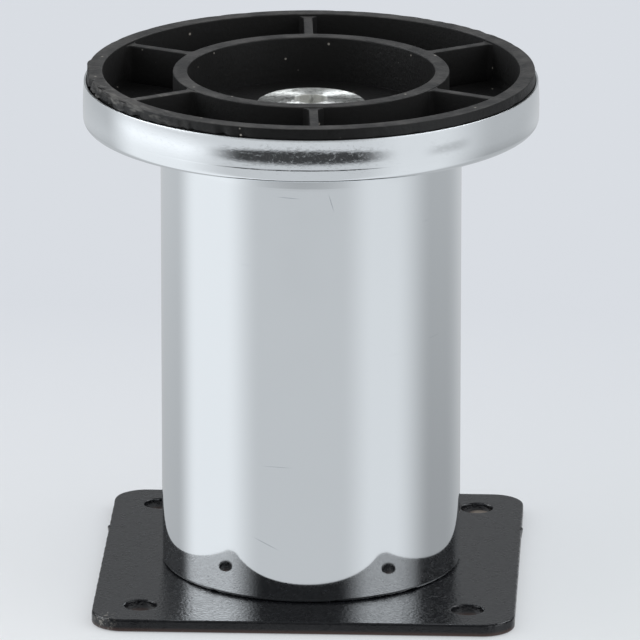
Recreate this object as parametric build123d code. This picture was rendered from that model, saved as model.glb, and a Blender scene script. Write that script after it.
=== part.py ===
from build123d import *

import os
from math import cos, radians, sin

# Chromed furniture leg: a tube clamped between a square mounting plate and a wide ribbed foot.
# It stands on its mounting plate, foot upwards, and one central bolt holds the stack together.
# Millimetres, +Z up, origin at the centre of the plate's outer face.

# Mounting plate
plate_side = 84.0
plate_thickness = 2.5
plate_corner_radius = 6.5
screw_pitch = 65.0
screw_hole_d = 6.4
boss_height = 1.5
boss_wall = 0.8

# Tube
tube_outer_d = 60.0
tube_wall = 2.0
tube_length = 91.2
tube_edge_break = 0.3

# Pressed cup
cup_outer_d = 90.8
cup_height = 8.7
cup_sheet = 1.0
cup_bend_radius = 2.2

# Ribbed moulding
lip_overhang = 0.55
lip_height = 2.1
rim_wall = 3.5
hub_wall = 2.9
hub_drop = 0.3
rib_count = 6
rib_thickness = 1.8
rib_drop = 0.5
pocket_corner_radius = 1.2
web_thickness = 1.6
spigot_length = 6.0
hub_floor_rise = 0.3
hub_floor_thickness = 2.5
insert_turn = 3.5

# Central bolt and its nut
bolt_d = 10.0
bolt_head_d = 21.8
bolt_head_edge = 2.6
bolt_head_crown = 0.8
bolt_crown_d = 12.0
bolt_head_chamfer = 0.4
bolt_tip_inset = 1.0
bolt_tip_chamfer = 1.0
socket_flats = 6.0
socket_depth = 4.0
nut_flats = 17.0
nut_height = 8.0
nut_chamfer = 1.2

# Clearances, each on the radius
tube_clearance = 0.5
cup_hole_clearance = 0.25
insert_clearance = 0.3
bolt_clearance = 0.5
thread_clearance = 0.05

# Levels that the stack sets
plate_top = plate_thickness
boss_top = plate_top + boss_height
tube_top = plate_top + tube_length
cup_floor = tube_top + cup_sheet
cup_rim = tube_top + cup_height
foot_top = cup_rim + lip_height
hub_top = foot_top - hub_drop
rib_top = foot_top - rib_drop
cell_floor = cup_floor + web_thickness
hub_floor_top = cup_floor + hub_floor_rise
spigot_end = tube_top - spigot_length
bolt_tip = boss_top + bolt_tip_inset

# Radii that the pieces share
tube_outer_r = tube_outer_d / 2
tube_inner_r = tube_outer_r - tube_wall
boss_r = tube_inner_r - tube_clearance
cup_outer_r = cup_outer_d / 2
cup_inner_r = cup_outer_r - cup_sheet
cup_inner_bend = cup_bend_radius - cup_sheet
body_r = cup_inner_r - insert_clearance
lip_r = cup_inner_r + lip_overhang
rim_inner_r = lip_r - rim_wall
hub_outer_r = tube_inner_r - tube_clearance
hub_inner_r = hub_outer_r - hub_wall
cup_hole_r = hub_outer_r + cup_hole_clearance
bolt_r = bolt_d / 2
bolt_hole_r = bolt_r + bolt_clearance
head_r = bolt_head_d / 2
crown_r = bolt_crown_d / 2


def turned(points):
    """Solid of revolution about Z from a closed outline of (radius, height) points."""
    with BuildPart() as part:
        with BuildSketch(Plane.XZ):
            with BuildLine():
                Polyline(*points, close=True)
            make_face()
        revolve(axis=Axis.Z)
    return part.part


def mounting_plate():
    """Square sheet with screw holes at its corners and a half-sheared boss that centres the tube."""
    with BuildPart() as part:
        with BuildSketch():
            RectangleRounded(plate_side, plate_side, plate_corner_radius)
        extrude(amount=plate_thickness)
        with BuildSketch(Plane.XY.offset(plate_top)):
            Circle(boss_r)
        extrude(amount=boss_height)
        with BuildSketch():
            Circle(boss_r - boss_wall)
        extrude(amount=boss_height, mode=Mode.SUBTRACT)
        with BuildSketch():
            Circle(bolt_hole_r)
            with GridLocations(screw_pitch, screw_pitch, 2, 2):
                Circle(screw_hole_d / 2)
        extrude(amount=boss_top, mode=Mode.SUBTRACT)
    return part.part


def weld_nut():
    """Hexagon nut that stands on the plate's boss, its upper corners chamfered by a cone."""
    corner_r = nut_flats / 2 / cos(radians(30))
    top = boss_top + nut_height
    with BuildPart() as part:
        with BuildSketch(Plane.XY.offset(boss_top)):
            RegularPolygon(nut_flats / 2, 6, major_radius=False)
            Circle(bolt_r + thread_clearance, mode=Mode.SUBTRACT)
        extrude(amount=nut_height)
    cone = turned([
        (0, boss_top),
        (corner_r, boss_top),
        (corner_r, top - nut_chamfer / 2),
        (corner_r - nut_chamfer, top),
        (0, top),
    ])
    return part.part & cone


def leg_tube():
    """Straight tube, its outer edges broken at both ends."""
    return turned([
        (tube_inner_r, plate_top),
        (tube_outer_r - tube_edge_break, plate_top),
        (tube_outer_r, plate_top + tube_edge_break),
        (tube_outer_r, tube_top - tube_edge_break),
        (tube_outer_r - tube_edge_break, tube_top),
        (tube_inner_r, tube_top),
    ])


def foot_cup():
    """Drawn cup: a flat floor with a central hole, a bend (flat inside), and a straight wall."""
    bend_x = cup_outer_r - cup_bend_radius
    bend_z = tube_top + cup_bend_radius
    with BuildPart() as part:
        with BuildSketch(Plane.XZ):
            with BuildLine():
                Line((bend_x, cup_floor), (cup_hole_r, cup_floor))
                Line((cup_hole_r, cup_floor), (cup_hole_r, tube_top))
                Line((cup_hole_r, tube_top), (bend_x, tube_top))
                CenterArc((bend_x, bend_z), cup_bend_radius, -90, 90)
                Line((cup_outer_r, bend_z), (cup_outer_r, cup_rim))
                Line((cup_outer_r, cup_rim), (cup_inner_r, cup_rim))
                Line((cup_inner_r, cup_rim), (cup_inner_r, bend_z))
                Line((cup_inner_r, bend_z), (bend_x, cup_floor))
            make_face()
        revolve(axis=Axis.Z)
    return part.part


def rib_pocket():
    """Outline of the pocket between two ribs, hub and rim, with rounded corners, centred on +X."""
    half = 180 / rib_count
    wedge_x = 2 * rim_inner_r * cos(radians(half))
    wedge_y = 2 * rim_inner_r * sin(radians(half))
    with BuildSketch() as cell:
        Circle(rim_inner_r)
        Circle(hub_outer_r, mode=Mode.SUBTRACT)
        with BuildLine():
            Polyline((0, 0), (wedge_x, wedge_y), (wedge_x, -wedge_y), close=True)
        make_face(mode=Mode.INTERSECT)
        for side in (-1, 1):
            Rectangle(4 * rim_inner_r, rib_thickness, rotation=side * half, mode=Mode.SUBTRACT)
        fillet(cell.vertices(), pocket_corner_radius)
    return cell.sketch


def ribbed_layer():
    """Middle layer of the moulding: rim, hub and ribs, with the pockets between them left open."""
    pocket = rib_pocket()
    with BuildPart() as part:
        with BuildSketch(Plane.XY.offset(cell_floor)):
            Circle(body_r)
            Circle(hub_inner_r, mode=Mode.SUBTRACT)
            with PolarLocations(0, rib_count, start_angle=90 + 180 / rib_count):
                add(pocket, mode=Mode.SUBTRACT)
        extrude(amount=rib_top - cell_floor)
    return part.part


def foot_insert():
    """Ribbed moulding: a rim that sits on the cup's edge, ribs, and a hub that enters the tube."""
    hub_floor_under = hub_floor_top - hub_floor_thickness
    base = turned([
        (bolt_hole_r, hub_floor_top),
        (hub_inner_r, hub_floor_top),
        (hub_inner_r, cell_floor),
        (body_r, cell_floor),
        (body_r, cup_floor + cup_inner_bend),
        (body_r - cup_inner_bend, cup_floor),
        (hub_outer_r, cup_floor),
        (hub_outer_r, spigot_end),
        (hub_inner_r, spigot_end),
        (hub_inner_r, hub_floor_under),
        (bolt_hole_r, hub_floor_under),
    ])
    lip = turned([
        (rim_inner_r, rib_top),
        (rim_inner_r, foot_top),
        (lip_r, foot_top),
        (lip_r, cup_rim),
        (body_r, cup_rim),
        (body_r, rib_top),
    ])
    hub_edge = turned([
        (hub_inner_r, rib_top),
        (hub_outer_r, rib_top),
        (hub_outer_r, hub_top),
        (hub_inner_r, hub_top),
    ])
    moulding = base + ribbed_layer() + lip + hub_edge
    return Rot(0, 0, insert_turn) * moulding


def clamp_bolt():
    """Bolt with a wide low head, a hexagon socket and a plain shank down to the nut."""
    edge_top = hub_floor_top + bolt_head_edge
    crown = edge_top + bolt_head_crown
    bolt = turned([
        (0, crown),
        (0, bolt_tip),
        (bolt_r - bolt_tip_chamfer, bolt_tip),
        (bolt_r, bolt_tip + bolt_tip_chamfer),
        (bolt_r, hub_floor_top),
        (head_r, hub_floor_top),
        (head_r, edge_top - bolt_head_chamfer),
        (head_r - bolt_head_chamfer, edge_top),
        (crown_r, crown),
    ])
    with BuildPart() as socket:
        with BuildSketch(Plane.XY.offset(crown)):
            RegularPolygon(socket_flats / 2, 6, major_radius=False)
        extrude(amount=-socket_depth)
    return bolt - socket.part


pieces = {
    "mounting_plate": mounting_plate(),
    "weld_nut": weld_nut(),
    "leg_tube": leg_tube(),
    "foot_cup": foot_cup(),
    "foot_insert": foot_insert(),
    "clamp_bolt": clamp_bolt(),
}

os.makedirs("parts", exist_ok=True)
for name, piece in pieces.items():
    piece.label = name
    export_step(piece, f"parts/{name}.step")
    box = piece.bounding_box()
    print(name, "volume", round(piece.volume, 1), "z", round(box.min.Z, 2), "to", round(box.max.Z, 2))
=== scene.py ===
# %% [markdown]
# # A chromed furniture leg, standing on its mounting plate
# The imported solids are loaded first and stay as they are. Every piece below is a smooth
# surface worked out with numpy in the same frame, in millimetres, that takes the place of one
# solid for the eye. Chrome shows nothing but what stands around it, so the light is designed
# as carefully as the metal.

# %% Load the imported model
import bmesh
import bpy
import numpy as np
from mathutils import Matrix, Vector


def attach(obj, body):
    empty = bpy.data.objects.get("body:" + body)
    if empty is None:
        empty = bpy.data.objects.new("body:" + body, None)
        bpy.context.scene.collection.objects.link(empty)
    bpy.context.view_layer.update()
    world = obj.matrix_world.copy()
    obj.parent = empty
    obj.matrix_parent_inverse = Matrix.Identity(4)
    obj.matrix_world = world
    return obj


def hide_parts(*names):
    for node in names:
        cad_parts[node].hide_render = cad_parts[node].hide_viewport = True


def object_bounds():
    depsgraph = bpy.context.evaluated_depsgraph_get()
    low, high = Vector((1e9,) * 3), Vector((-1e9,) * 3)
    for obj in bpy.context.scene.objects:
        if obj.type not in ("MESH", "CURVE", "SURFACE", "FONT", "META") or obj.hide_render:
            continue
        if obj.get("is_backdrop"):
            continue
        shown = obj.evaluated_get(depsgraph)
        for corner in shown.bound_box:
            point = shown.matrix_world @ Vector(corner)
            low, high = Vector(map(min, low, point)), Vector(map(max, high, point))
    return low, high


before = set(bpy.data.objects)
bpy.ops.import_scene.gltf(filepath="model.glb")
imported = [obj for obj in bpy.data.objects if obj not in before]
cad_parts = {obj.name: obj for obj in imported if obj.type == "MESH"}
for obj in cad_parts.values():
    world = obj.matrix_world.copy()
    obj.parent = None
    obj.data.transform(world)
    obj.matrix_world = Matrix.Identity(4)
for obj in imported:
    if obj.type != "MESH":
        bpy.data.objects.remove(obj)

cad_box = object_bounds()
print("solids loaded:", sorted(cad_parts))

# %% [markdown]
# ## From arrays to a mesh
# A shape here is a grid of points: rows run along a profile, columns run around the axis or
# along an edge. One function joins the grids of a piece, welds the points that they share,
# turns the faces outwards and shades them smooth. The alternative, modelling with primitives
# and booleans, would give facets that polished chrome shows at once.

# %% Grid to mesh
def grid_faces(rows, cols, wrap_rows, wrap_cols):
    """Quads of a grid: each joins point (i, j) to its right, lower right and lower neighbour."""
    i = np.arange(rows if wrap_rows else rows - 1)[:, None]
    j = np.arange(cols if wrap_cols else cols - 1)[None, :]
    below, right = (i + 1) % rows, (j + 1) % cols
    quads = np.stack([i * cols + j, i * cols + right, below * cols + right, below * cols + j], -1)
    return quads.reshape(-1, 4)


def skin(name, grids, weld=2e-7, sliver=1e-8):
    """Joins grids (points in mm, wrap_rows, wrap_cols) into one welded, outward, smooth mesh.
    Points closer than weld become one, edges shorter than sliver vanish, both in metres."""
    points, faces, start = [], [], 0
    for grid, wrap_rows, wrap_cols in grids:
        rows, cols = grid.shape[:2]
        points.append(grid.reshape(-1, 3) / 1000)
        faces.append(grid_faces(rows, cols, wrap_rows, wrap_cols) + start)
        start += rows * cols
    mesh = bpy.data.meshes.new(name)
    mesh.from_pydata(np.concatenate(points).tolist(), [], np.concatenate(faces).tolist())
    shell = bmesh.new()
    shell.from_mesh(mesh)
    bmesh.ops.remove_doubles(shell, verts=shell.verts, dist=weld)
    bmesh.ops.dissolve_degenerate(shell, edges=shell.edges, dist=sliver)
    bmesh.ops.recalc_face_normals(shell, faces=shell.faces)
    open_edges = sum(not e.is_manifold for e in shell.edges)
    shell.to_mesh(mesh)
    shell.free()
    mesh.shade_smooth()
    piece = bpy.data.objects.new(name, mesh)
    bpy.context.collection.objects.link(piece)
    print(name, "faces", len(mesh.polygons), "open edges", open_edges)
    return piece


print("a grid of 3 by 4 points has", len(grid_faces(3, 4, False, False)), "quads,",
      len(grid_faces(3, 4, False, True)), "when its columns close into a ring")

# %% [markdown]
# ## Outlines with rounded corners
# Real edges are never sharp: sheet is broken, plastic is rounded by the mould. An outline is a
# few corners with a radius each. Every corner becomes a small arc with a holding point on
# either side, which keeps the long flats flat when the shading is smoothed.

# %% Outline and lathe
def rounded(corners, radii, steps=6, hold=0.08):
    """Closed outline: at each corner an arc that touches both sides, found by turning from one
    touching point to the other about the arc's centre, plus a holding point before and after."""
    p = np.asarray(corners, float)
    r = np.asarray(radii, float)[:, None]
    back, ahead = np.roll(p, 1, 0) - p, np.roll(p, -1, 0) - p
    u = back / np.linalg.norm(back, axis=1, keepdims=True)
    v = ahead / np.linalg.norm(ahead, axis=1, keepdims=True)
    half = np.arccos(np.clip((u * v).sum(1, keepdims=True), -1, 1)) / 2
    reach = r / np.tan(half)
    centre = p + (u + v) / np.linalg.norm(u + v, axis=1, keepdims=True) * r / np.sin(half)
    a, b, sweep = p + u * reach - centre, p + v * reach - centre, np.pi - 2 * half
    t = np.linspace(0, 1, steps)[None, :, None]
    arc = np.sin((1 - t) * sweep[:, None]) * a[:, None] + np.sin(t * sweep[:, None]) * b[:, None]
    arc = centre[:, None] + arc / np.sin(sweep)[:, None]
    before, after = p + u * (reach + hold), p + v * (reach + hold)
    return np.concatenate([before[:, None], arc, after[:, None]], 1).reshape(-1, 2)


def lathe(outline, steps):
    """Turns an outline of (radius, height) about the axis: x = r cos a, y = r sin a, z = height."""
    a = np.linspace(0, 2 * np.pi, steps, endpoint=False)
    r, z = outline[:, :1], outline[:, 1:]
    return np.stack([r * np.cos(a), r * np.sin(a), z + 0 * a], -1)


def degrees_around(steps):
    """Angles in degrees of the lathe's columns."""
    return np.linspace(0, 360, steps, endpoint=False)


def with_wall(outline, corners_before, steps, radius, heights):
    """The outline with points at one radius and many heights put in after some of its corners,
    each of which takes the steps of its arc and two holding points."""
    wall = np.stack([np.full(heights.size, radius), heights], 1)
    return np.insert(outline, corners_before * (steps + 2), wall, axis=0)


print("a square with rounded corners has",
      len(rounded([(0, 0), (9, 0), (9, 9), (0, 9)], [1, 1, 1, 1])), "points")

# %% [markdown]
# ## The tube
# A straight welded tube, cut to length, its edges broken, polished and chromed. Four corners
# turned about the axis are nearly all it needs: the polishing wheel thins the last five
# millimetres under the cup by a few hundredths, which is enough to bend the reflections there
# into a crescent, and the cut leaves small nicks around the lower end. The rest depends only
# on its smoothness.

# %% Tube
def nicks(turn, middle, spread, count, deepest, seed):
    """Sum of bell curves of the angle: depth * exp(-((angle - place) / width)^2), each with a
    drawn place near the middle, a width of 0.5 to 1.6 degrees and a depth up to the deepest."""
    draw = np.random.RandomState(seed)
    place = draw.normal(middle, spread, (count, 1)) % 360
    width = draw.uniform(0.5, 1.6, (count, 1))
    depth = draw.uniform(0.1, 1.0, (count, 1)) ** 2 * deepest
    return (depth * np.exp(-((turn - place) / width) ** 2)).sum(0)


tube_r, tube_bore_r, tube_low, tube_high = 30.0, 28.0, 2.5, 93.7
tube_columns, edge_steps = 384, 6
thin_from, thinning = 88.0, 0.0070
step_at, step_width, step_depth = 87.95, 0.12, 0.0008
outside_r, nick_top, nick_fade = 29.0, 3.4, 0.8
tube_corners = [(tube_bore_r, tube_low), (tube_r, tube_low), (tube_r, tube_high),
                (tube_bore_r, tube_high)]
tube_outline = rounded(tube_corners, [0.2, 0.7, 0.3, 0.2], edge_steps)
heights = np.concatenate([[86.8, 87.3], np.linspace(87.6, 88.4, 17), [89.0, 91.0, 93.0]])
tube_outline = with_wall(tube_outline, 2, edge_steps, tube_r, heights)
r, z = tube_outline[:, :1], tube_outline[:, 1:]
thinned = thinning * np.clip(z - thin_from, 0, None)
thinned += step_depth * np.exp(-((z - step_at) / step_width) ** 2)
r -= (r > outside_r) * thinned
tube_grid = lathe(tube_outline, tube_columns)
lower_end = np.clip((nick_top - z) / nick_fade, 0, 1) * (r > outside_r - 0.2)
cut = nicks(degrees_around(tube_columns), middle=180, spread=120, count=70, deepest=0.35, seed=3)
tube_grid[..., 2] += lower_end * cut
tube = skin("leg_tube_polished", [(tube_grid, True, True)])

# %% [markdown]
# ## The pressed cup
# The foot's cup is drawn from 1 mm sheet. A drawn wall is never quite straight: it swells a
# little above the bend. That swell, under a quarter of a millimetre, is what spreads the
# reflections over the height of the wall, so it is part of the outline. So is the fine line
# that the die leaves just above the bend, a hundredth of a millimetre deep.

# %% Cup
cup_r, cup_inner_r, cup_hole_r = 45.4, 44.4, 27.75
cup_low, cup_floor, cup_high = 93.7, 94.7, 102.4
cup_columns, bend_steps = 360, 12
swell, swell_at = 0.008, 97.0
die_depth, die_at, die_width, die_r = 0.013, 96.5, 0.16, 45.0
scored_middle, scored_reach = 268, 27
cup_corners = [(cup_hole_r, cup_floor), (cup_hole_r, cup_low), (cup_r, cup_low), (cup_r, cup_high),
               (cup_inner_r, cup_high), (cup_inner_r, cup_floor)]
cup_outline = rounded(cup_corners, [0.15, 0.15, 1.3, 0.07, 0.65, 0.5], bend_steps)
heights = np.concatenate([np.linspace(95.3, 97.05, 42), np.linspace(97.2, 101.6, 26)])
cup_outline = with_wall(cup_outline, 3, bend_steps, cup_r, heights)
r, z = cup_outline.T
outer_wall = np.where(z < 95.0, np.clip((r - 44.1) / 1.3, 0, 1), r > 44.9)
r -= outer_wall * swell * (z - swell_at) ** 2
cup_grid = lathe(cup_outline, cup_columns)
turn = degrees_around(cup_columns)
die_line = outer_wall * die_depth * np.exp(-((z - die_at) / die_width) ** 2)
uneven = 1 + 0.25 * np.sin(np.radians(turn * 23)) * np.sin(np.radians(turn * 41))
scored = np.exp(-((turn - scored_middle) / scored_reach) ** 2) * uneven
cup_grid[..., :2] *= (1 - die_line[:, None] * scored / die_r)[..., None]
cup = skin("foot_cup_pressed", [(cup_grid, True, True)])

# %% [markdown]
# ## The ribbed moulding
# An injection moulding in black plastic: a hub that enters the tube, a rim that sits on the
# cup's edge, and six ribs between them. The round body is turned from one outline: over the hub
# floor and the hub's edge, through the cells, over the rim, and back underneath.

# %% Body of the moulding
insert_columns = 720
insert_corners = [
    (5.5, 95.0), (24.6, 95.0), (24.6, 104.2), (27.5, 104.2), (27.5, 96.3), (41.45, 96.3),
    (41.45, 104.5), (44.48, 104.5), (44.68, 102.4), (44.1, 102.4), (44.1, 95.9), (42.9, 94.7),
    (27.5, 94.7), (27.5, 87.7), (24.6, 87.7), (24.6, 92.5), (5.5, 92.5),
]
insert_radii = [0.2, 0.02, 0.3, 0.3, 1.0, 1.0, 0.3, 0.2, 0.15, 0.02, 0.2, 0.2, 0.1, 0.3, 0.3, 0.6, 0.2]
insert_outline = rounded(insert_corners, insert_radii, steps=4, hold=0.03)
insert_body = lathe(insert_outline, insert_columns)
print("moulding's body", insert_body.shape[0], "rows of", insert_columns)

# %% [markdown]
# ## Wear on the rim
# The rim stands proud and takes every knock. Its edges are nicked where it has been dragged, and
# three slips of flash, plastic squeezed out between the halves of the mould, were never trimmed.
# Bump could draw this from above, but an outline against the light needs real shape.

# %% Wear on the rim
def worn_rim(grid, outline):
    """Moves the rim's outer edges inwards by their nicks, and outwards where flash was left
    standing: the full distance at the edge itself, fading to none half a millimetre away."""
    turn = degrees_around(grid.shape[1])
    r, z = outline[:, :1], outline[:, 1:]
    outer_from, rim_from, upper_from, lower_to, fade = 43.9, 101.9, 103.9, 103.1, 0.5
    outside = np.clip((r - outer_from) / 0.6, 0, 1) * np.clip((z - rim_from) / 0.4, 0, 1)
    above = outside * np.clip((z - upper_from) / fade, 0, 1)
    below = outside * np.clip((lower_to - z) / fade, 0, 1)
    flash = 0.34 * np.exp(-((turn - 176.5) / 2.2) ** 4) + 0.2 * np.exp(-((turn - 50) / 1.2) ** 2)
    flash += 0.16 * np.exp(-((turn - 43) / 0.8) ** 2)
    # Groups of nicks: middle, spread, count, deepest, seed
    top_groups = [(206, 14, 30, 0.5, 5), (48, 9, 9, 0.22, 6), (180, 150, 40, 0.14, 7)]
    low_groups = [(212, 12, 26, 0.6, 8), (250, 18, 14, 0.3, 9), (300, 60, 24, 0.12, 10)]
    top_nicks = sum(nicks(turn, *group) for group in top_groups)
    low_nicks = sum(nicks(turn, *group) for group in low_groups)
    inward = above * (top_nicks - flash) + below * (low_nicks - 0.3 * flash)
    moved = grid.copy()
    moved[..., :2] *= (1 - inward / np.clip(r, 1, None))[..., None]
    moved[..., 2] -= 0.5 * above * top_nicks - 0.4 * below * low_nicks
    print("deepest wear", round(float(inward.max()), 2), "mm, tallest flash", round(-float(inward.min()), 2),
          "mm")
    return moved


insert_body = worn_rim(insert_body, insert_outline)

# %% [markdown]
# ## The ribs
# Each rib is a small section carried from hub to rim, wider at both ends where the mould has a
# radius. Its ends lie inside the walls, so rib and body need no common points.

# %% Ribs
def rib(angle, hub_r=27.5, rim_r=41.45, thickness=1.8, root=1.2, low=96.0, top=104.0, edge=0.25):
    """One rib: half width = thickness / 2 + root flare, where the flare at distance d from a wall
    is root - sqrt(root^2 - (root - d)^2). The section is a box with rounded upper edges."""
    s = np.concatenate([np.linspace(hub_r - 0.8, hub_r + 2, 18), np.linspace(hub_r + 2.5, rim_r - 2.5, 8),
                        np.linspace(rim_r - 2, rim_r + 0.8, 18)])
    near = np.clip(np.minimum(s - hub_r, rim_r - s), 0, root)
    half = thickness / 2 + root - np.sqrt(root ** 2 - (root - near) ** 2)
    section = rounded([(-1, low), (1, low), (1, top), (-1, top)], [0.02, 0.02, edge, edge], steps=5)
    side = np.sign(section[:, 0])
    inset = np.clip(1 - np.abs(section[:, 0]), 0, None)
    across = side * (half[:, None] - inset)
    grid = np.stack([s[:, None] + 0 * across, across, section[:, 1] + 0 * across], -1)
    grid = np.concatenate([grid[:1].mean(1, keepdims=True) + 0 * grid[:1], grid,
                           grid[-1:].mean(1, keepdims=True) + 0 * grid[-1:]])
    c, sn = np.cos(np.radians(angle)), np.sin(np.radians(angle))
    turn = np.array([[c, sn, 0], [-sn, c, 0], [0, 0, 1]])
    return grid @ turn


first_rib, rib_count = 93.5, 6
rib_angles = first_rib + 360 / rib_count * np.arange(rib_count)
ribs = [(rib(angle), False, True) for angle in rib_angles]
insert = skin("foot_insert_moulded", [(insert_body, True, True)] + ribs)

# %% [markdown]
# ## Bolt and nut
# The bolt clamps the stack. Its wide head has a low crown and a hexagon socket. A hexagon is a
# circle whose radius swings with the angle, flats / 2 / cos(angle from the nearest flat), so
# bolt and nut are turned like the rest, with the radius of some rows swung to the hexagon.

# %% Bolt
def hexagon(a, flats):
    """Radius of a hexagon at angle a: half the width over flats / cos(a - nearest flat)."""
    return flats / 2 / np.cos((a + np.pi / 6) % (np.pi / 3) - np.pi / 6)


def bolt_grid(steps=192, shank_r=5.0, head_r=10.9, seat=95.0, tip=5.0, thread_end=30.0, pitch=1.5,
              depth=0.45, key_flats=6.0, key_r=3.46):
    """Rows of (radius, height, share of hexagon): tip, thread, shank, head, crown, socket. The
    thread's radius falls by its depth times a triangle wave of height / pitch - angle / turn."""
    a = np.linspace(0, 2 * np.pi, steps, endpoint=False)[None, :]
    start = np.array([(0, tip, 0), (3.6, tip, 0), (4.0, tip + 0.1, 0)])
    thread_z = np.arange(tip + 0.6, thread_end, pitch / 8)
    thread = np.stack([np.full(thread_z.size, shank_r), thread_z, 0 * thread_z], 1)
    neck = np.array([
        (shank_r, 30.5, 0), (shank_r, 94.6, 0), (shank_r + 0.3, 94.95, 0), (shank_r + 0.6, seat, 0),
        (head_r - 0.4, seat, 0), (head_r - 0.1, seat + 0.1, 0), (head_r, seat + 0.4, 0),
        (head_r, 97.0, 0), (head_r, 97.15, 0), (head_r - 0.12, 97.42, 0), (head_r - 0.4, 97.6, 0)])
    r = np.linspace(head_r - 0.6, 3.8, 24)
    crown = np.stack([r, 97.6 + 0.8 * (1 - (r / (head_r - 0.4)) ** 2), 0 * r], 1)
    socket = np.array([
        (3.7, 98.28, 0), (3.58, 98.27, 0.5), (3.5, 98.25, 1), (key_r, 98.15, 1), (key_r, 97.9, 1),
        (key_r, 94.6, 1), (3.2, 94.4, 1), (0, 94.2, 1)])
    rows = np.concatenate([start, thread, neck, crown, socket])
    r, z, six = rows[:, :1], rows[:, 1:2], rows[:, 2:]
    wave = np.abs(((z / pitch - a / (2 * np.pi)) % 1) * 2 - 1)
    on_thread = np.clip((z - tip) / 1.0, 0, 1) * np.clip((thread_end - z) / pitch, 0, 1) * (r == shank_r)
    radius = r * (1 - six) + six * hexagon(a, key_flats) * r / key_r - depth * wave * on_thread
    return np.stack([radius * np.cos(a), radius * np.sin(a), z + 0 * a], -1)


bolt = skin("clamp_bolt_zinc", [(bolt_grid(), False, True)])


# %% Nut
def nut_grid(steps=192, flats=17.0, bore=5.05, low=4.0, top=12.0, chamfer=1.2):
    """Rows up the outside and down the bore; the outside is the lesser of hexagon and cone."""
    a = np.linspace(0, 2 * np.pi, steps, endpoint=False)[None, :]
    z_out = np.concatenate([[low, low + 0.1], np.linspace(low + 0.5, top - 1.0, 4),
                            np.linspace(top - 0.8, top, 9)])
    corner = flats / 2 / np.cos(np.pi / 6)
    cone = corner - np.clip(z_out[:, None] - (top - chamfer / 2), 0, None) * 2
    outside = np.minimum(hexagon(a, flats), cone)
    z = np.concatenate([z_out, [top, top - 0.5, low + 0.5, low]])[:, None]
    inside = np.array([bore + 0.5, bore, bore, bore + 0.5])[:, None] + 0 * a
    radius = np.concatenate([outside, inside])
    return np.stack([radius * np.cos(a), radius * np.sin(a), z + 0 * a], -1)


nut = skin("weld_nut_zinc", [(nut_grid(), True, True)])

# %% [markdown]
# ## The mounting plate
# A square of sheet with rounded corners, four screw holes and a low boss under the tube, coated
# after punching, so every edge is soft. Each quarter of a face is lofted from its screw hole to
# the quarter's border. The side wall, the hole walls and the boss share those border points, so
# the welded plate is one closed skin. A boolean would leave sharp rims that no coating has.

# %% Borders of the plate
plate_half, plate_corner, plate_top, edge_r = 42.0, 6.5, 2.5, 0.45
hole_at, hole_r, hole_edge = 32.5, 3.2, 0.35
boss_r, recess_r, boss_columns = 27.5, 26.7, 192


def plate_border(n_edge=88, n_corner=28):
    """A quarter of the plate's outline from the +X axis to the +Y axis, with its outward normals."""
    run = plate_half - plate_corner
    up = np.linspace(0, run, n_edge, endpoint=False)
    t = np.linspace(0, np.pi / 2, n_corner, endpoint=False)
    along = np.linspace(run, 0, n_edge + 1)
    path = np.concatenate([
        np.stack([np.full(n_edge, plate_half), up], 1),
        np.stack([run + plate_corner * np.cos(t), run + plate_corner * np.sin(t)], 1),
        np.stack([along, np.full(n_edge + 1, plate_half)], 1)])
    normal = np.concatenate([np.tile([1.0, 0.0], (n_edge, 1)), np.stack([np.cos(t), np.sin(t)], 1),
                             np.tile([0.0, 1.0], (n_edge + 1, 1))])
    return path, normal


path, normal = plate_border()


def quarter_border(inner_r, n_side=10):
    """Border of a quarter of a face: the plate's edge, a side, the boss's circle and the other side."""
    side = np.linspace(plate_half - edge_r, inner_r, n_side + 1)[1:]
    t = np.linspace(np.pi / 2, 0, boss_columns // 4 + 1)[1:]
    return np.concatenate([
        path - edge_r * normal,
        np.stack([0 * side, side], 1),
        inner_r * np.stack([np.cos(t), np.sin(t)], 1),
        np.stack([side[::-1], 0 * side], 1)[1:]])


toward = quarter_border(boss_r) - hole_at
toward /= np.linalg.norm(toward, axis=1, keepdims=True)
print("border of a quarter of the plate:", len(toward), "points")


# %% Faces and walls of the plate
def face_quarter(inner_r, z):
    """A quarter of a face: straight lines from the screw hole's edge to the quarter's border. Both
    faces leave the hole at the same points, so that its wall closes against them."""
    border = quarter_border(inner_r)
    rim = hole_at + (hole_r + hole_edge) * toward
    share = np.array([0, 0.015, 0.25, 0.5, 0.75, 0.985, 1])[:, None, None]
    flat = rim + share * (border - rim)
    return np.concatenate([flat, np.full(flat.shape[:2] + (1,), z)], -1)


def soft_wall(radius, low, high, steps=7):
    """Profile of a wall between two rounded edges, as (inset, height) from the top down."""
    t = np.linspace(0, np.pi / 2, steps)
    inset = np.concatenate([radius * (1 - np.sin(t)), radius * (1 - np.cos(t))])
    height = np.concatenate([high - radius * (1 - np.cos(t)), low + radius * (1 - np.sin(t))])
    return inset[:, None], height[:, None]


def quarter_turns(grid):
    """The grid and its copies turned by 90, 180 and 270 degrees about the axis."""
    turn = np.array([[0, 1, 0], [-1, 0, 0], [0, 0, 1.0]])
    return [grid, grid @ turn, grid @ turn @ turn, grid @ turn @ turn @ turn]


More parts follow.
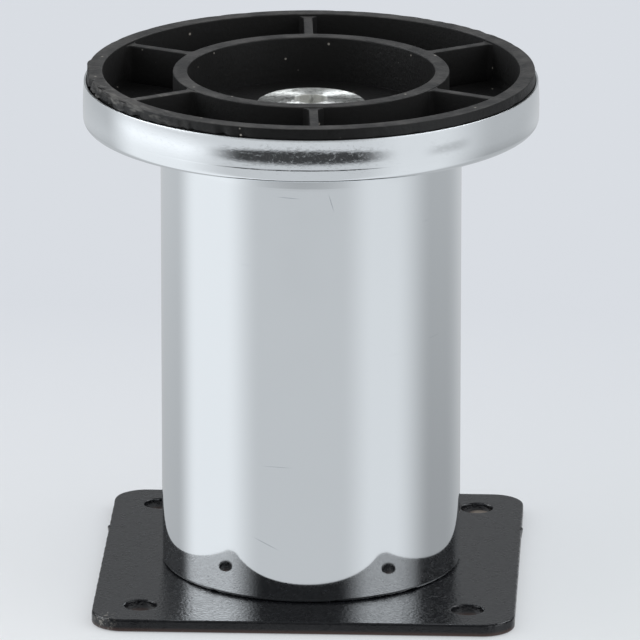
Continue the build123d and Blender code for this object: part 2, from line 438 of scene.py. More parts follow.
top_face, bottom_face = face_quarter(boss_r, plate_top), face_quarter(recess_r, 0.0)
inset, height = soft_wall(edge_r, 0.0, plate_top)
side_wall = np.stack([path[:, 0] - inset * normal[:, 0], path[:, 1] - inset * normal[:, 1],
                      height + 0 * path[:, 0]], -1)
inset, height = soft_wall(hole_edge, 0.0, plate_top)
hole_wall = np.stack([hole_at + (hole_r + inset) * toward[:, 0], hole_at + (hole_r + inset) * toward[:, 1],
                      height + 0 * toward[:, 0]], -1)
boss_rows = np.array([
    (boss_r, 2.5), (boss_r, 2.6), (boss_r, 3.8), (boss_r - 0.2, 4.0), (5.7, 4.0), (5.5, 3.8), (5.5, 1.7),
    (5.7, 1.5), (recess_r - 0.2, 1.5), (recess_r, 1.3), (recess_r, 0.1), (recess_r, 0)])
plate_grids = [(lathe(boss_rows, boss_columns), False, True)]
for part in (top_face, bottom_face, hole_wall):
    plate_grids += [(grid, False, True) for grid in quarter_turns(part)]
plate_grids += [(grid, False, False) for grid in quarter_turns(side_wall)]
print("plate of", len(plate_grids), "grids")

# %% [markdown]
# ## Knocks on the plate's edge
# Sheared sheet keeps a fine ripple along its edge, and the corners of a plate that has been
# handled are knocked in. Burrs stand out at two places. The list below gives the angle, the
# width in degrees and the depth in millimetres of each knock, negative for a burr.

# %% Knocks on the plate's edge
def dented_edge(grid):
    """Moves points near the plate's outer edge along the line from the centre: out by a fine ripple
    of the angle, in at the knocks, fading with the distance to the rounded square's outline."""
    x, y = np.abs(grid[..., 0]), np.abs(grid[..., 1])
    run = plate_half - plate_corner
    beyond = np.hypot(np.clip(x - run, 0, None), np.clip(y - run, 0, None))
    inside = plate_corner - np.where((x > run) & (y > run), beyond, np.maximum(x, y) - run)
    turn = np.degrees(np.arctan2(grid[..., 1], grid[..., 0])) % 360
    near = np.clip(1 - inside / 0.7, 0, 1) * np.clip(grid[..., 2] / plate_top, 0, 1)
    ripple = 0.05 * np.sin(61 * np.radians(turn)) * np.sin(23 * np.radians(turn) + 1)
    place, width, depth = np.array(knocks).T[:, :, None]
    bells = depth * np.exp(-((turn.reshape(1, -1) - place) / width) ** 2)
    dent = bells.sum(0).reshape(turn.shape) + ripple
    moved = grid.copy()
    moved[..., :2] *= (1 - near * dent / np.hypot(x, y).clip(1))[..., None]
    return moved


knocks = [(231.5, 1.2, 0.45), (229, 0.5, 0.3), (234, 0.6, 0.35), (237, 0.7, 0.2), (157, 0.5, -0.4),
          (155.4, 0.4, 0.25), (25.8, 0.5, -0.35), (24.2, 0.4, 0.25), (316, 1.0, 0.2), (312, 0.6, 0.15)]
plate_grids = [(dented_edge(grid), rows, cols) for grid, rows, cols in plate_grids]
plate = skin("mounting_plate_coated", plate_grids)

# %% [markdown]
# ## One way to write materials
# Colours are written as the hex values that a paint program shows and turned to linear light by
# one function. Another small function adds a node with its settings and links, so that each
# material below reads as a list of what it is made of. Sizes are written in millimetres.

# %% Colour and node helpers
mm = 0.001


def tint(code):
    """sRGB hex to linear RGBA: v / 12.92 below 0.04045, else ((v + 0.055) / 1.055) ^ 2.4."""
    v = np.array([int(code[i:i + 2], 16) for i in (1, 3, 5)]) / 255
    linear = np.where(v <= 0.04045, v / 12.92, ((v + 0.055) / 1.055) ** 2.4)
    return (*linear.tolist(), 1.0)


def add(tree, kind, inputs=None, **settings):
    """Adds a node, applies its settings, and fills or links the named or numbered inputs."""
    node = tree.nodes.new(kind)
    for key, value in settings.items():
        setattr(node, key, value)
    for key, value in (inputs or {}).items():
        if isinstance(value, bpy.types.NodeSocket):
            tree.links.new(value, node.inputs[key])
        else:
            node.inputs[key].default_value = value
    return node


def material(name):
    """An empty node material with its output and a principled shader, ready to be filled."""
    made = bpy.data.materials.new(name)
    made.use_nodes = True
    tree = made.node_tree
    tree.nodes.clear()
    shader = add(tree, "ShaderNodeBsdfPrincipled")
    add(tree, "ShaderNodeOutputMaterial", {"Surface": shader.outputs[0]})
    place = add(tree, "ShaderNodeTexCoord")
    return made, tree, shader, place.outputs["Object"]


print("middle grey #808080 is", round(tint("#808080")[0], 3), "in linear light")

# %% [markdown]
# ## Spots and dust
# Two marks come up on more than one finish: a spot with a place and a size of its own, such as a
# scratch, and dust. Both could be painted on an image, but as masks worked out from the position
# they stay sharp at any distance.

# %% Spots and dust
def spot_at(tree, here, middle, half_sizes, slope, edge, core, strength):
    """Mask of an ellipsoid: the length of the position measured from its middle in its own half
    sizes, turned about Y by the slope, goes from none at the edge to full strength at the core."""
    place = add(tree, "ShaderNodeMapping", {
        "Vector": here, "Location": middle, "Rotation": (0, np.radians(slope), 0), "Scale": half_sizes},
        vector_type="TEXTURE")
    length = add(tree, "ShaderNodeVectorMath", {0: place.outputs[0]}, operation="LENGTH").outputs["Value"]
    return add(tree, "ShaderNodeMapRange", {0: length, 1: edge, 2: core, 4: strength}).outputs[0]


def dust_on(tree, here, apart, bare_share, edge, core):
    """Mask of specks: space is divided into cells a given distance apart, a share of them stays
    bare, and the rest hold a speck that fades from its core to its edge, in parts of a cell."""
    cells = add(tree, "ShaderNodeTexVoronoi", {"Vector": here, "Scale": 1 / apart, "Randomness": 1.0})
    drawn = add(tree, "ShaderNodeSeparateColor", {0: cells.outputs["Color"]}).outputs[0]
    drawn = add(tree, "ShaderNodeMath", {0: drawn, 1: bare_share}, operation="GREATER_THAN").outputs[0]
    speck = add(tree, "ShaderNodeMapRange", {0: cells.outputs["Distance"], 1: edge, 2: core}).outputs[0]
    return add(tree, "ShaderNodeMath", {0: speck, 1: drawn}, operation="MULTIPLY").outputs[0]


print("masks ready for spots and dust")

# %% [markdown]
# ## Chrome on the tube
# Bright chrome plate over polished steel is an almost perfect mirror with a cold cast. What the
# eye reads as metal is the haze that the buffing wheel leaves: the roughness wanders a little,
# and a few hairlines run across. They are finer than a pixel in life and are drawn broader here.
# Three scratches are placed one by one, each a very flat ellipsoid.

# %% Chrome, buffed
chrome, tree, shader, here = material("chrome_plate_buffed")
haze = add(tree, "ShaderNodeTexNoise", {"Vector": here, "Scale": 1 / (16 * mm), "Detail": 4.0})
rough = add(tree, "ShaderNodeMapRange", {0: haze.outputs[0], 1: 0.3, 2: 0.7, 3: 0.04, 4: 0.07})
tree.links.new(rough.outputs[0], shader.inputs["Roughness"])
hair_scale = (90, 90, 1800)  # per metre: 11 mm long, 0.6 mm broad
turned = add(tree, "ShaderNodeMapping", {"Vector": here, "Rotation": (0.25, 0.3, 0.0), "Scale": hair_scale})
hairs = add(tree, "ShaderNodeTexNoise", {"Vector": turned.outputs[0], "Scale": 1.0, "Detail": 1.0})
mark = add(tree, "ShaderNodeMapRange", {0: hairs.outputs[0], 1: 0.79, 2: 0.85, 3: 0.0, 4: 0.4}).outputs[0]
scratches = [((-0.0077, -0.0289, 0.0145), 24, 3.2 * mm), ((-0.0031, -0.0298, 0.0863), 3, 2.6 * mm),
             ((0.0053, -0.0295, 0.0853), 74, 2.2 * mm)]
for middle, slope, half_length in scratches:
    scratch = spot_at(tree, here, middle, (half_length, 6 * mm, 0.11 * mm), slope, 1.0, 0.4, 0.6)
    mark = add(tree, "ShaderNodeMath", {0: mark, 1: scratch}, operation="MAXIMUM").outputs[0]
plating = add(tree, "ShaderNodeMix", {0: mark, 6: tint("#edf0f2"), 7: tint("#a9b0b6")}, data_type="RGBA")
tree.links.new(plating.outputs[2], shader.inputs["Base Color"])
shader.inputs["Metallic"].default_value = 1.0
print(chrome.name, "haze 16 mm, hairlines 0.6 mm,", len(scratches), "scratches")

# %% [markdown]
# ## Chrome on the cup
# The same plate over a pressing that was polished less. Drawing the sheet leaves a fine grit
# that the chrome copies, stretched around the cup. It breaks up the edges of dark reflections,
# and small pits, drawn a millimetre wide so that they show, lighten them here and there. The cut
# rim is duller than the wall. Bump and roughness do this better than colour: in even light the
# cup stays plain chrome.

# %% Chrome, pressed
pressed, tree, shader, here = material("chrome_plate_pressed")
grit_scale = (1 / (1.1 * mm), 1 / (1.1 * mm), 1 / (0.5 * mm))
turned = add(tree, "ShaderNodeMapping", {"Vector": here, "Scale": grit_scale})
grit = add(tree, "ShaderNodeTexNoise", {
    "Vector": turned.outputs[0], "Scale": 1.0, "Detail": 3.0, "Roughness": 0.6})
bump = add(tree, "ShaderNodeBump", {"Height": grit.outputs[0], "Strength": 1.0, "Distance": 0.002 * mm})
pit_scale = (1 / (1.0 * mm), 1 / (1.0 * mm), 1 / (0.6 * mm))
turned = add(tree, "ShaderNodeMapping", {"Vector": here, "Scale": pit_scale})
pits = add(tree, "ShaderNodeTexNoise", {
    "Vector": turned.outputs[0], "Scale": 1.0, "Detail": 5.0, "Roughness": 0.7})
pits = add(tree, "ShaderNodeMapRange", {0: pits.outputs[0], 1: 0.5, 2: 0.8})
bump = add(tree, "ShaderNodeBump", {
    "Height": pits.outputs[0], "Strength": 1.0, "Distance": 0.0008 * mm, "Normal": bump.outputs[0]})
rough = add(tree, "ShaderNodeMapRange", {0: pits.outputs[0], 3: 0.04, 4: 0.24}).outputs[0]
level = add(tree, "ShaderNodeSeparateXYZ", {0: here}).outputs["Z"]
rim = add(tree, "ShaderNodeMapRange", {0: level, 1: 101.9 * mm, 2: 102.2 * mm}).outputs[0]
rough = add(tree, "ShaderNodeMix", {0: rim, 2: rough, 3: 0.25}).outputs[0]
tree.links.new(rough, shader.inputs["Roughness"])
tree.links.new(bump.outputs[0], shader.inputs["Normal"])
shader.inputs["Metallic"].default_value = 1.0
shader.inputs["Base Color"].default_value = tint("#f1f4f6")
print(pressed.name, "grit 1.1 mm around, 0.5 mm up")

# %% [markdown]
# ## Powder coat
# Powder is sprayed on dry and melted in an oven. It flows into a skin with a dimpled surface,
# about half a millimetre from dimple to dimple, so a lamp's reflection breaks into sparkles. A
# cell pattern gives each grain its own gloss and shade, drawn at 0.6 mm so that it shows. The
# lower edge is painted a warm dark brown, painted shade where the plate meets the floor. Dust
# sticks here and there, one corner is chipped to the primer, and the wall of one screw hole is bare.

# %% Powder coat
coat, tree, shader, here = material("powder_coat_black")
grain_size = 0.6 * mm
peel = add(tree, "ShaderNodeTexNoise", {
    "Vector": here, "Scale": 1 / grain_size, "Detail": 2.0, "Roughness": 0.6})
bump = add(tree, "ShaderNodeBump", {"Height": peel.outputs[0], "Strength": 0.25, "Distance": 0.35 * mm})
tree.links.new(bump.outputs[0], shader.inputs["Normal"])
grain = add(tree, "ShaderNodeTexVoronoi", {"Vector": here, "Scale": 1 / grain_size, "Randomness": 1.0})
grain = add(tree, "ShaderNodeSeparateColor", {0: grain.outputs["Color"]}).outputs[1]
gloss = add(tree, "ShaderNodeMapRange", {0: grain, 3: 0.07, 4: 0.28}).outputs[0]
tree.links.new(gloss, shader.inputs["Roughness"])
level = add(tree, "ShaderNodeSeparateXYZ", {0: here}).outputs["Z"]
# Painted shade: the lowest millimetre of the plate's edge turns warm dark brown, where the plate meets the
# floor.
edge = add(tree, "ShaderNodeMapRange", {0: level, 1: 1.0 * mm, 2: 0.3 * mm}).outputs[0]
dust = dust_on(tree, here, apart=4 * mm, bare_share=0.85, edge=0.06, core=0.035)
chip_at = (-0.0392, -0.0398, 0.0018)
chip = add(tree, "ShaderNodeVectorMath", {0: here, 1: chip_at}, operation="DISTANCE").outputs["Value"]
chip = add(tree, "ShaderNodeMapRange", {0: chip, 1: 3.4 * mm, 2: 1.0 * mm}).outputs[0]
flake = add(tree, "ShaderNodeTexNoise", {"Vector": here, "Scale": 1 / (0.7 * mm), "Detail": 3.0}).outputs[0]
flake = add(tree, "ShaderNodeMapRange", {0: flake, 1: 0.55, 2: 0.62}).outputs[0]
chip = add(tree, "ShaderNodeMath", {0: chip, 1: flake}, operation="MULTIPLY").outputs[0]
bare = spot_at(tree, here, (0.0336, 0.0354, 0.0005), (2.9 * mm, 3 * mm, 0.6 * mm), 0, 1.0, 0.5, 1.0)
paint = add(tree, "ShaderNodeMix", {0: grain, 6: tint("#0f1013"), 7: tint("#141518")},
            data_type="RGBA").outputs[2]
# The first colour, #3d2a24, is that painted shade on the lower edge; dust, the chip and the bare hole wall
# are real marks.
for mask, colour in ((edge, "#3d2a24"), (dust, "#85888c"), (chip, "#77746e"), (bare, "#9a8f84")):
    paint = add(tree, "ShaderNodeMix", {0: mask, 6: paint, 7: tint(colour)}, data_type="RGBA").outputs[2]
tree.links.new(paint, shader.inputs["Base Color"])
print(coat.name, "dimples 0.6 mm")

# %% [markdown]
# ## Moulded plastic
# Black polypropylene as it leaves the mould, dull inside the cells, where nothing touches it.
# Its colour holds painted light and shade: the deep parts of the cells and the outer wall are
# painted darker, as painted shade, and the tops of rim, hub and ribs are painted greyer, partly
# from scuffs where they have slid over floors and partly as painted light on faces that look up.
# A painter would mask these by hand. Here the height and the direction of the surface tell the
# tops from the walls, and the distance from the axis tells hub, cells and outer wall apart.

# %% Moulded plastic, place by place
plastic, tree, shader, here = material("polypropylene_black_moulded")
grain = add(tree, "ShaderNodeTexNoise", {
    "Vector": here, "Scale": 1 / (0.9 * mm), "Detail": 4.0, "Roughness": 0.6})
bump = add(tree, "ShaderNodeBump", {"Height": grain.outputs[0], "Strength": 0.5, "Distance": 0.2 * mm})
tree.links.new(bump.outputs[0], shader.inputs["Normal"])
shader.inputs["Specular IOR Level"].default_value = 0.35
level = add(tree, "ShaderNodeSeparateXYZ", {0: here}).outputs["Z"]
facing = add(tree, "ShaderNodeNewGeometry").outputs["Normal"]
facing = add(tree, "ShaderNodeSeparateXYZ", {0: facing}).outputs["Z"]
upward = add(tree, "ShaderNodeMapRange", {0: facing, 1: 0.35, 2: 0.8}).outputs[0]
# The tops, high up and facing up: their colour is painted greyer, partly scuffs and partly painted light
# from above.
top = add(tree, "ShaderNodeMapRange", {0: level, 1: 103.0 * mm, 2: 103.6 * mm}).outputs[0]
top = add(tree, "ShaderNodeMath", {0: top, 1: upward}, operation="MULTIPLY").outputs[0]
flat = add(tree, "ShaderNodeVectorMath", {0: here, 1: (1, 1, 0)}, operation="MULTIPLY").outputs[0]
radius = add(tree, "ShaderNodeVectorMath", {0: flat}, operation="LENGTH").outputs["Value"]
hub = add(tree, "ShaderNodeMapRange", {0: radius, 1: 25.1 * mm, 2: 24.5 * mm}).outputs[0]
# Painted shade: the outer wall, from 44 mm out from the axis, is painted darker than the body.
wall = add(tree, "ShaderNodeMapRange", {0: radius, 1: 43.8 * mm, 2: 44.2 * mm}).outputs[0]
# Painted shade: deep in the cells the colour is painted near black, darker towards their floors.
deep_painted_shade = add(tree, "ShaderNodeMapRange", {0: level, 1: 98.5 * mm, 2: 96.4 * mm}).outputs[0]
deep_painted_shade = add(tree, "ShaderNodeMath", {0: deep_painted_shade, 1: hub}, operation="SUBTRACT", use_clamp=True).outputs[0]
gloss = add(tree, "ShaderNodeMapRange", {0: hub, 3: 0.7, 4: 0.5}).outputs[0]
for mask, roughness in ((deep_painted_shade, 1.0), (wall, 0.45), (top, 0.45)):
    gloss = add(tree, "ShaderNodeMix", {0: mask, 2: gloss, 3: roughness}).outputs[0]
tree.links.new(gloss, shader.inputs["Roughness"])
print(plastic.name, "grain 0.9 mm")

# %% [markdown]
# ## Scuffs, scrapes and dust on the plastic
# Scuffs are soft patches a few millimetres wide on the tops. One stretch of the rim was dragged
# over something hard: there the scuffs grow and long pale scrapes run along the rim and its wall.
# Specks of dust lie everywhere.

# %% Scuffs, scrapes and dust
scuff = add(tree, "ShaderNodeTexNoise", {
    "Vector": here, "Scale": 1 / (4.5 * mm), "Detail": 6.0, "Roughness": 0.65}).outputs[0]
scuff = add(tree, "ShaderNodeMapRange", {0: scuff, 1: 0.4, 2: 0.7}).outputs[0]
rubbed_at = (-0.037, -0.024, 0.1045)
rubbed = add(tree, "ShaderNodeVectorMath", {0: here, 1: rubbed_at}, operation="DISTANCE").outputs["Value"]
rubbed = add(tree, "ShaderNodeMapRange", {0: rubbed, 1: 22 * mm, 2: 4 * mm, 4: 0.45}).outputs[0]
scuff = add(tree, "ShaderNodeMath", {0: scuff, 1: rubbed}, operation="ADD", use_clamp=True).outputs[0]
# The tops' colour: scuffs mottle it, and its grey is partly painted light on faces that look up.
scuffed_and_lit_top = add(tree, "ShaderNodeMix", {0: scuff, 6: tint("#232323"), 7: tint("#484746")},
              data_type="RGBA").outputs[2]
along = add(tree, "ShaderNodeMapping", {
    "Vector": here, "Rotation": (0, 0, np.radians(-57)), "Scale": (4.5 * mm, 1.1 * mm, 0.9 * mm)},
    vector_type="TEXTURE")
scrape = add(tree, "ShaderNodeTexNoise", {"Vector": along.outputs[0], "Scale": 1.0, "Detail": 4.0})
scrape = add(tree, "ShaderNodeMapRange", {0: scrape.outputs[0], 1: 0.5, 2: 0.68}).outputs[0]
outer = add(tree, "ShaderNodeMath", {0: top, 1: wall}, operation="MAXIMUM").outputs[0]
for share in (outer, rubbed):
    scrape = add(tree, "ShaderNodeMath", {0: scrape, 1: share}, operation="MULTIPLY").outputs[0]
scrape = add(tree, "ShaderNodeMath", {0: scrape, 1: 2.0}, operation="MULTIPLY", use_clamp=True).outputs[0]
dust = dust_on(tree, here, apart=2.8 * mm, bare_share=0.65, edge=0.11, core=0.06)
# The body colour, then painted shade deep in the cells and on the outer wall, the tops painted greyer by
# scuffs and painted light, pale scrapes and dust.
body = tint("#141414")
for mask, colour in ((deep_painted_shade, tint("#050505")), (wall, tint("#080808")), (top, scuffed_and_lit_top),
                     (scrape, tint("#6a6966")), (dust, tint("#96928b"))):
    body = add(tree, "ShaderNodeMix", {0: mask, 6: body, 7: colour}, data_type="RGBA").outputs[2]
tree.links.new(body, shader.inputs["Base Color"])
print(plastic.name, "scuffs 4.5 mm, dust 2.8 mm apart")

# %% [markdown]
# ## Zinc on the bolt
# The head is faced on a lathe and zinc plated. The tool leaves rings a tenth of a millimetre
# apart, too fine to draw, but they spread every reflection along the radius. The shader's
# anisotropy does just that, turned by a quarter so that it spreads outwards and not around: a
# lamp becomes two bright fans, with grey between them. Small dents mottle them.

# %% Zinc, turned
zinc, tree, shader, here = material("zinc_plate_turned")
dents = add(tree, "ShaderNodeTexNoise", {"Vector": here, "Scale": 1 / (1.3 * mm), "Detail": 4.0})
bump = add(tree, "ShaderNodeBump", {"Height": dents.outputs[0], "Strength": 1.0, "Distance": 0.3 * mm})
tree.links.new(bump.outputs[0], shader.inputs["Normal"])
around = add(tree, "ShaderNodeTangent", direction_type="RADIAL", axis="Z")
tree.links.new(around.outputs[0], shader.inputs["Tangent"])
flat = add(tree, "ShaderNodeVectorMath", {0: here, 1: (1, 1, 0)}, operation="MULTIPLY").outputs[0]
radius = add(tree, "ShaderNodeVectorMath", {0: flat}, operation="LENGTH").outputs["Value"]
worn = add(tree, "ShaderNodeTexNoise", {
    "Vector": here, "Scale": 1 / (1.6 * mm), "Detail": 5.0, "Roughness": 0.7}).outputs[0]
worn = add(tree, "ShaderNodeMapRange", {0: worn, 1: 0.36, 2: 0.54}).outputs[0]
plating = add(tree, "ShaderNodeMix", {0: worn, 6: tint("#b4b5b1"), 7: tint("#fafbf8")},
              data_type="RGBA").outputs[2]
socket = add(tree, "ShaderNodeMapRange", {0: radius, 1: 3.5 * mm, 2: 3.1 * mm}).outputs[0]
plating = add(tree, "ShaderNodeMix", {0: socket, 6: plating, 7: tint("#bdbeb9")}, data_type="RGBA")
tree.links.new(plating.outputs[2], shader.inputs["Base Color"])
bright = add(tree, "ShaderNodeMapRange", {0: socket, 3: 1.0, 4: 0.25}).outputs[0]
tree.links.new(bright, shader.inputs["Metallic"])
shader.inputs["Roughness"].default_value = 0.55
shader.inputs["Anisotropic"].default_value = 0.95
shader.inputs["Anisotropic Rotation"].default_value = 0.25
print(zinc.name, "dents 1.3 mm, dull spots 1.6 mm")

# %% [markdown]
# ## Dressing the solids
# Each surface now gets its finish and takes the place of its solid, which is hidden. It rides
# on the body called root.

# %% Dress the pieces
dress = [
    (tube, "leg_tube", chrome, "chrome"), (cup, "foot_cup", pressed, "chrome"),
    (insert, "foot_insert", plastic, "black_plastic"), (bolt, "clamp_bolt", zinc, "zinc_steel"),
    (nut, "weld_nut", zinc, "zinc_steel"), (plate, "mounting_plate", coat, "powder_coat"),
]
for piece, solid, finish, slot in dress:
    piece.data.materials.append(finish)
    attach(piece, "root")
    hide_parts(solid)
    print(piece.name, "wears", finish.name, "in place of", solid)

# %% [markdown]
# ## Floor
# A plain sheet of pale paper. Its colour is painted light: lighter in front, most of all at the
# front left, and darker at the back. Part of its light is its own, which keeps it even, and the
# rest is shaded, so the leg still casts its soft shadow. The chrome does not mirror the sheet,
# because the room described below already tells the metal what to show.

# %% Floor
floor_line, floor_level = np.linspace(-3000, 3000, 7), -0.1
floor_grid = np.stack(np.meshgrid(floor_line, floor_line, [floor_level]), -1)[:, :, 0]
floor = skin("floor", [(floor_grid, False, False)])
paper, tree, shader, here = material("paper_sheet_pale")
spot = add(tree, "ShaderNodeSeparateXYZ", {0: here}).outputs
# Painted light on the paper: darker at the back, lighter in front, and lighter at the front left than at the
# front right.
near = add(tree, "ShaderNodeMapRange", {0: spot["Y"], 1: 180 * mm, 2: -60 * mm}).outputs[0]
aside = add(tree, "ShaderNodeMapRange", {0: spot["X"], 1: -60 * mm, 2: 60 * mm}).outputs[0]
front = add(tree, "ShaderNodeMix", {0: aside, 6: tint("#edf0f3"), 7: tint("#e3e7ea")},
            data_type="RGBA").outputs[2]
sheet = add(tree, "ShaderNodeMix", {0: near, 6: tint("#d8dce2"), 7: front}, data_type="RGBA").outputs[2]
tree.links.new(sheet, shader.inputs["Base Color"])
shader.inputs["Roughness"].default_value = 0.9
shader.inputs["Specular IOR Level"].default_value = 0.0
even = add(tree, "ShaderNodeEmission", {"Color": sheet, "Strength": 1.0})
both = add(tree, "ShaderNodeMixShader", {0: 0.4, 1: shader.outputs[0], 2: even.outputs[0]})
tree.links.new(both.outputs[0], tree.nodes["Material Output"].inputs["Surface"])
floor.data.materials.append(paper)
floor.visible_glossy = False
floor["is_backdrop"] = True
print("floor 6 m square, just under the plate")

# %% [markdown]
# ## Camera
# A long lens far away and a little above, because the photograph shows hardly any perspective.
# Its place follows from one angle around the leg, one above the floor and one distance. The
# middle of the leg lies a little off the middle of the frame, so the camera aims beside it.

# %% Camera
yaw, rise = 2.594, 17.05
distance, focal_px, frame_px, sensor = 1.9024, 9494.0, 640, 36
leg_px = (311.1, 330.6)
leg_middle = Vector((0, 0, 0.05))
y, e = np.radians(yaw), np.radians(rise)
right = Vector((np.cos(y), np.sin(y), 0))
back = Vector((np.sin(y) * np.cos(e), -np.cos(y) * np.cos(e), np.sin(e)))
up = back.cross(right)
eye = leg_middle + back * distance
metres_per_px = distance / focal_px
aim = leg_middle + right * (frame_px / 2 - leg_px[0]) * metres_per_px
aim += up * (leg_px[1] - frame_px / 2) * metres_per_px
look = (eye - aim).normalized()
right = up.cross(look).normalized()
camera_data = bpy.data.cameras.new("camera")
camera_data.sensor_width = sensor
camera_data.lens = focal_px / frame_px * sensor
camera_data.clip_end = 30
camera = bpy.data.objects.new("camera", camera_data)
bpy.context.collection.objects.link(camera)
turn = Matrix((right, look.cross(right), look)).transposed()
camera.matrix_world = Matrix.Translation(eye) @ turn.to_4x4()
bpy.context.scene.camera = camera
print("camera", distance, "m away, lens", round(camera_data.lens), "mm")

# %% [markdown]
# ## Light
# Chrome has no look of its own: it shows the room. So the room is planned like a small studio
# with five things around the leg: a bright panel on the left, a dimmer one on the right, the
# open room in front, a shaded corner beyond the right panel, and the wall behind. Lamps could do
# this too, but their edges are hard to place in a curved mirror, and a world that answers by
# direction has no noise. First, the direction of a ray becomes an azimuth and a height.

# %% Directions in the world
world = bpy.data.worlds.new("studio")
bpy.context.scene.world = world
world.use_nodes = True
tree = world.node_tree
tree.nodes.clear()
degree = np.pi / 180
direction = add(tree, "ShaderNodeTexCoord").outputs["Generated"]
xyz = add(tree, "ShaderNodeSeparateXYZ", {0: direction}).outputs
ahead = add(tree, "ShaderNodeMath", {0: xyz[1], 1: -1.0}, operation="MULTIPLY").outputs[0]
azimuth = add(tree, "ShaderNodeMath", {0: xyz[0], 1: ahead}, operation="ARCTAN2").outputs[0]
height = add(tree, "ShaderNodeMath", {0: xyz[2]}, operation="ARCSINE").outputs[0]
full_turn = add(tree, "ShaderNodeMapRange", {0: azimuth, 1: -np.pi, 2: np.pi}).outputs[0]
print("azimuth 0 is towards the camera, 180 behind the leg; height in degrees above level")

# %% [markdown]
# ## The room in layers
# An upright mirror seen from a little above shows only a thin band of heights: the table and the
# foot of the walls. The cup's swollen wall shows a little more, and the flat tops show the walls
# above the table. So the room is written as layers from the table to the ceiling, each with one
# level for each of the five things. A level of 1 is white paper, and the tint is a cold white.

# %% The room, from the table up to the ceiling
cold = np.array([1.0, 1.035, 1.07])


def ring(back, left, front, right, shade):
    """The five levels around the leg as one colour ramp of the azimuth, with soft steps between.
    The stops are degrees from the camera's own direction, negative to the left."""
    stops = [(-182, back), (-126, back), (-99, left), (-70, left), (-39, front), (22, front), (49, right),
             (66, right), (107, shade), (126, shade), (163, back), (177, back)]
    ramp = add(tree, "ShaderNodeValToRGB", {0: full_turn})
    ramp.color_ramp.interpolation = "EASE"
    while len(ramp.color_ramp.elements) < len(stops):
        ramp.color_ramp.elements.new(1.0)
    for stop, (place, level) in zip(ramp.color_ramp.elements, stops):
        stop.position = min(max((place + yaw + 180) / 360, 0.0), 1.0)
        stop.color = (*(level * cold), 1)
    return ramp.outputs[0]


room = ring(back=0.50, left=0.87, front=0.58, right=0.76, shade=0.46)
layers = [
    (-22.0, -19.0, ring(back=0.45, left=0.87, front=0.58, right=0.76, shade=0.34)),
    (-18.5, -16.0, ring(back=0.57, left=0.90, front=0.59, right=0.75, shade=0.46)),
    (-16.0, -13.0, ring(back=0.50, left=1.06, front=0.64, right=0.74, shade=0.48)),
    (-12.5, -8.5, ring(back=0.50, left=0.70, front=0.64, right=0.74, shade=0.48)),
    (-5.0, 3.0, ring(back=0.35, left=2.60, front=0.04, right=1.80, shade=0.05)),
    (25.0, 31.0, ring(back=0.25, left=0.25, front=0.25, right=0.25, shade=0.25)),
]
for low, high, layer in layers:
    reached = add(tree, "ShaderNodeMapRange", {0: height, 1: low * degree, 2: high * degree}).outputs[0]
    room = add(tree, "ShaderNodeMix", {0: reached, 6: room, 7: layer}, data_type="RGBA").outputs[2]
print("room of", 1 + len(layers), "layers")

# %% [markdown]
# ## Things in the room
# A dark bar low in front becomes the dark streak on the cup, bowed because the cup is round. Dark
# stands behind the panels keep the plate's image dark at the sides of the tube. Two panels under
# the ceiling light the bolt's head, deep in the hub, and become its bright fans.

# %% Things in the room
def strip(middle, reach, fade, low, high, sag=0.0, arch=0.0):
    """Mask of a long thing: full within the reach of azimuth about its middle and none past the
    fade, between two heights given as (none, full), whose edges bend with the square of the
    distance d from the middle: height - sag d^2 for the lower and height + arch d^2 for the upper."""
    apart = add(tree, "ShaderNodeMath", {0: azimuth, 1: middle * degree}, operation="SUBTRACT").outputs[0]
    apart = add(tree, "ShaderNodeMath", {0: apart}, operation="ABSOLUTE").outputs[0]
    square = add(tree, "ShaderNodeMath", {0: apart, 1: 2.0}, operation="POWER").outputs[0]
    mask, edges = 1.0, [(apart, fade, reach)]
    for bend, (none, full) in ((-sag, low), (arch, high)):
        bent = add(tree, "ShaderNodeMath", {0: square, 1: bend, 2: height}, operation="MULTIPLY_ADD")
        edges.append((bent.outputs[0], none, full))
    for value, none, full in edges:
        edge = add(tree, "ShaderNodeMapRange", {0: value, 1: none * degree, 2: full * degree},
                   interpolation_type="SMOOTHSTEP").outputs[0]
        mask = add(tree, "ShaderNodeMath", {0: mask, 1: edge}, operation="MULTIPLY").outputs[0]
    return mask


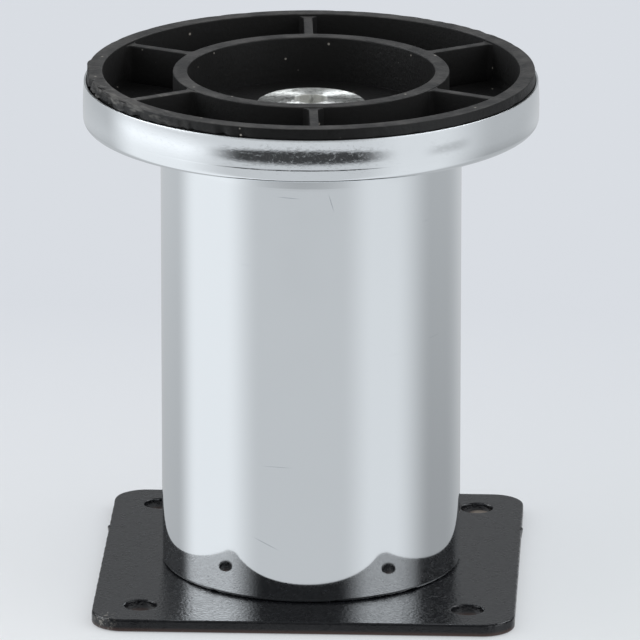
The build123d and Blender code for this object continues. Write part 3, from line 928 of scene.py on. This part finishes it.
stand_low, stand_high = (-5.0, 3.0), (31.0, 25.0)
panel_low, panel_high = (31.0, 37.0), (62.0, 57.0)
things = {
    "dark bar in front": (strip(-3.0, 28, 52, (-16.0, -14.2), (-9.2, -10.5), 0.022, 0.044), 1.0, 0.05),
    "small thing on the right": (strip(76, 4, 17, (-15.6, -13.9), (-11.6, -13.2)), 0.42, 0.25),
    "left dark stand": (strip(-138, 20, 34, stand_low, stand_high), 1.0, 0.13),
    "right dark stand": (strip(122, 20, 34, stand_low, stand_high), 1.0, 0.04),
    "left ceiling panel": (strip(-124, 22, 31, panel_low, panel_high), 1.0, 3.2),
    "right ceiling panel": (strip(124, 22, 31, panel_low, panel_high), 1.0, 3.2),
}
for name, (mask, cover, level) in things.items():
    mask = add(tree, "ShaderNodeMath", {0: mask, 1: cover}, operation="MULTIPLY", label=name).outputs[0]
    colour = (*(level * cold), 1)
    room = add(tree, "ShaderNodeMix", {0: mask, 6: room, 7: colour}, data_type="RGBA").outputs[2]
print("in the room:", ", ".join(things))

# %% [markdown]
# ## Who sees what
# Only glossy rays see the room. Dull surfaces get plain soft light, stronger from the sides than
# from front and back and a little stronger from the right, and the camera sees a pale backdrop.

# %% Who sees what
rays = add(tree, "ShaderNodeLightPath").outputs
from_front, from_sides, more_right = 0.82, 1.62, 0.25
sideways = add(tree, "ShaderNodeMath", {0: xyz[0], 1: xyz[0]}, operation="MULTIPLY").outputs[0]
soft = add(tree, "ShaderNodeMapRange", {0: sideways, 3: from_front, 4: from_sides}).outputs[0]
soft = add(tree, "ShaderNodeMath", {0: xyz[0], 1: more_right, 2: soft}, operation="MULTIPLY_ADD").outputs[0]
seen = add(tree, "ShaderNodeMix", {0: rays["Is Camera Ray"], 6: soft, 7: tint("#d8dde3")}, data_type="RGBA")
seen = add(tree, "ShaderNodeMix", {0: rays["Is Glossy Ray"], 6: seen.outputs[2], 7: room}, data_type="RGBA")
light = add(tree, "ShaderNodeBackground", {"Color": seen.outputs[2], "Strength": 1.0})
add(tree, "ShaderNodeOutputWorld", {"Surface": light.outputs[0]})
bpy.context.scene.view_settings.view_transform = "Standard"
print("world:", len(tree.nodes), "nodes")

# %% [markdown]
# ## Sizes
# The dressed leg should be as large as the solids. Both boxes are printed in millimetres.

# %% Sizes and finish
boxes = {"cad": cad_box, "visual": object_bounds()}
boxes = {name: [[float(v) for v in corner] for corner in box] for name, box in boxes.items()}
print("boxes in mm:", {name: np.round(np.array(box) * 1000, 2).tolist() for name, box in boxes.items()})
